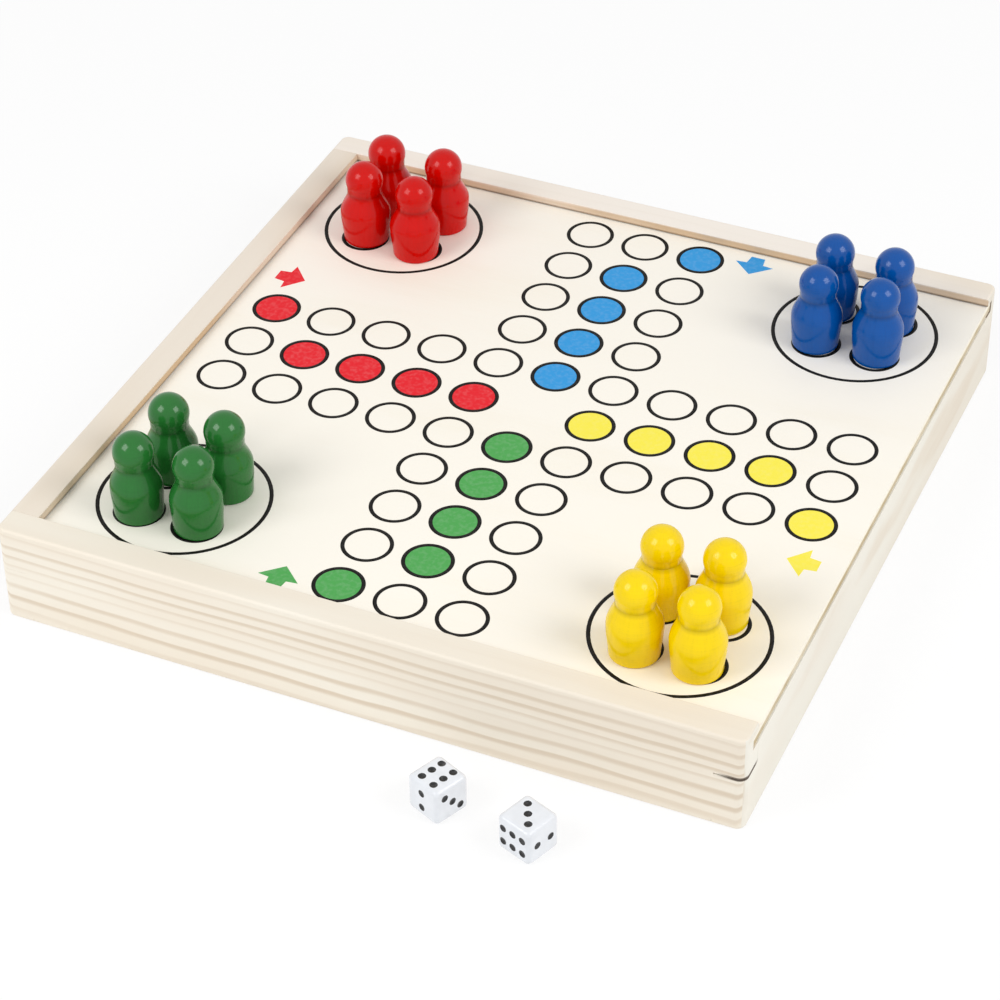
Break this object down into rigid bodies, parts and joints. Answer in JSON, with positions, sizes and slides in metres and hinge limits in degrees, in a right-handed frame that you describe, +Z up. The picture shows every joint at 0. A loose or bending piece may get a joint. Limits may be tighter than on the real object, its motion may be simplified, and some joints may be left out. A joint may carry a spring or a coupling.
{
  "type": "travel board game in a sliding-lid wooden case",
  "caption": "Flat square wooden case whose printed plywood board slides in grooves as its lid, with turned pawns standing on the board's home circles and dice in front.",
  "frame": {"origin": "middle of the case's underside, on the surface that the case stands on", "axes": "+X to the right, the way the board slides out; +Y to the back, away from the dice; +Z up"},
  "size_m": [0.2, 0.2301, 0.0503],
  "materials": {
    "pine": "sanded bare pine, pale cream with soft darker grain bands",
    "plywood": "sanded pale birch plywood with a thin clear coat over the print",
    "lacquer_red": "turned wood under glossy red lacquer",
    "lacquer_blue": "turned wood under glossy blue lacquer",
    "lacquer_green": "turned wood under glossy green lacquer",
    "lacquer_yellow": "turned wood under glossy yellow lacquer",
    "die_resin": "glossy white resin with black painted pips",
    "print_ink": "thin satin printing ink on the board"
  },
  "bodies": {
    "case": {"front_wall": "pine", "back_wall": "pine", "left_wall": "pine", "right_wall": "pine", "base_panel": "plywood"},
    "board": {"game_board": "plywood"},
    "pawn_red_1": {"pawn_red_1": "lacquer_red"},
    "pawn_red_2": {"pawn_red_2": "lacquer_red"},
    "pawn_red_3": {"pawn_red_3": "lacquer_red"},
    "pawn_red_4": {"pawn_red_4": "lacquer_red"},
    "pawn_blue_1": {"pawn_blue_1": "lacquer_blue"},
    "pawn_blue_2": {"pawn_blue_2": "lacquer_blue"},
    "pawn_blue_3": {"pawn_blue_3": "lacquer_blue"},
    "pawn_blue_4": {"pawn_blue_4": "lacquer_blue"},
    "pawn_green_1": {"pawn_green_1": "lacquer_green"},
    "pawn_green_2": {"pawn_green_2": "lacquer_green"},
    "pawn_green_3": {"pawn_green_3": "lacquer_green"},
    "pawn_green_4": {"pawn_green_4": "lacquer_green"},
    "pawn_yellow_1": {"pawn_yellow_1": "lacquer_yellow"},
    "pawn_yellow_2": {"pawn_yellow_2": "lacquer_yellow"},
    "pawn_yellow_3": {"pawn_yellow_3": "lacquer_yellow"},
    "pawn_yellow_4": {"pawn_yellow_4": "lacquer_yellow"},
    "die_1": {"die_1": "die_resin"},
    "die_2": {"die_2": "die_resin"}
  },
  "joints": [
    {"name": "board_slide", "type": "slide", "parent": "case", "child": "board", "axis": [1, 0, 0], "range_m": [0, 0.2]},
    {"name": "pawn_red_1_lift", "type": "slide", "parent": "board", "child": "pawn_red_1", "axis": [0, 0, 1], "range_m": [0, 0.03]},
    {"name": "pawn_red_2_lift", "type": "slide", "parent": "board", "child": "pawn_red_2", "axis": [0, 0, 1], "range_m": [0, 0.03]},
    {"name": "pawn_red_3_lift", "type": "slide", "parent": "board", "child": "pawn_red_3", "axis": [0, 0, 1], "range_m": [0, 0.03]},
    {"name": "pawn_red_4_lift", "type": "slide", "parent": "board", "child": "pawn_red_4", "axis": [0, 0, 1], "range_m": [0, 0.03]},
    {"name": "pawn_blue_1_lift", "type": "slide", "parent": "board", "child": "pawn_blue_1", "axis": [0, 0, 1], "range_m": [0, 0.03]},
    {"name": "pawn_blue_2_lift", "type": "slide", "parent": "board", "child": "pawn_blue_2", "axis": [0, 0, 1], "range_m": [0, 0.03]},
    {"name": "pawn_blue_3_lift", "type": "slide", "parent": "board", "child": "pawn_blue_3", "axis": [0, 0, 1], "range_m": [0, 0.03]},
    {"name": "pawn_blue_4_lift", "type": "slide", "parent": "board", "child": "pawn_blue_4", "axis": [0, 0, 1], "range_m": [0, 0.03]},
    {"name": "pawn_green_1_lift", "type": "slide", "parent": "board", "child": "pawn_green_1", "axis": [0, 0, 1], "range_m": [0, 0.03]},
    {"name": "pawn_green_2_lift", "type": "slide", "parent": "board", "child": "pawn_green_2", "axis": [0, 0, 1], "range_m": [0, 0.03]},
    {"name": "pawn_green_3_lift", "type": "slide", "parent": "board", "child": "pawn_green_3", "axis": [0, 0, 1], "range_m": [0, 0.03]},
    {"name": "pawn_green_4_lift", "type": "slide", "parent": "board", "child": "pawn_green_4", "axis": [0, 0, 1], "range_m": [0, 0.03]},
    {"name": "pawn_yellow_1_lift", "type": "slide", "parent": "board", "child": "pawn_yellow_1", "axis": [0, 0, 1], "range_m": [0, 0.03]},
    {"name": "pawn_yellow_2_lift", "type": "slide", "parent": "board", "child": "pawn_yellow_2", "axis": [0, 0, 1], "range_m": [0, 0.03]},
    {"name": "pawn_yellow_3_lift", "type": "slide", "parent": "board", "child": "pawn_yellow_3", "axis": [0, 0, 1], "range_m": [0, 0.03]},
    {"name": "pawn_yellow_4_lift", "type": "slide", "parent": "board", "child": "pawn_yellow_4", "axis": [0, 0, 1], "range_m": [0, 0.03]},
    {"name": "die_1_lift", "type": "slide", "parent": "case", "child": "die_1", "axis": [0, 0, 1], "range_m": [0, 0.03]},
    {"name": "die_2_lift", "type": "slide", "parent": "case", "child": "die_2", "axis": [0, 0, 1], "range_m": [0, 0.03]}
  ]
}
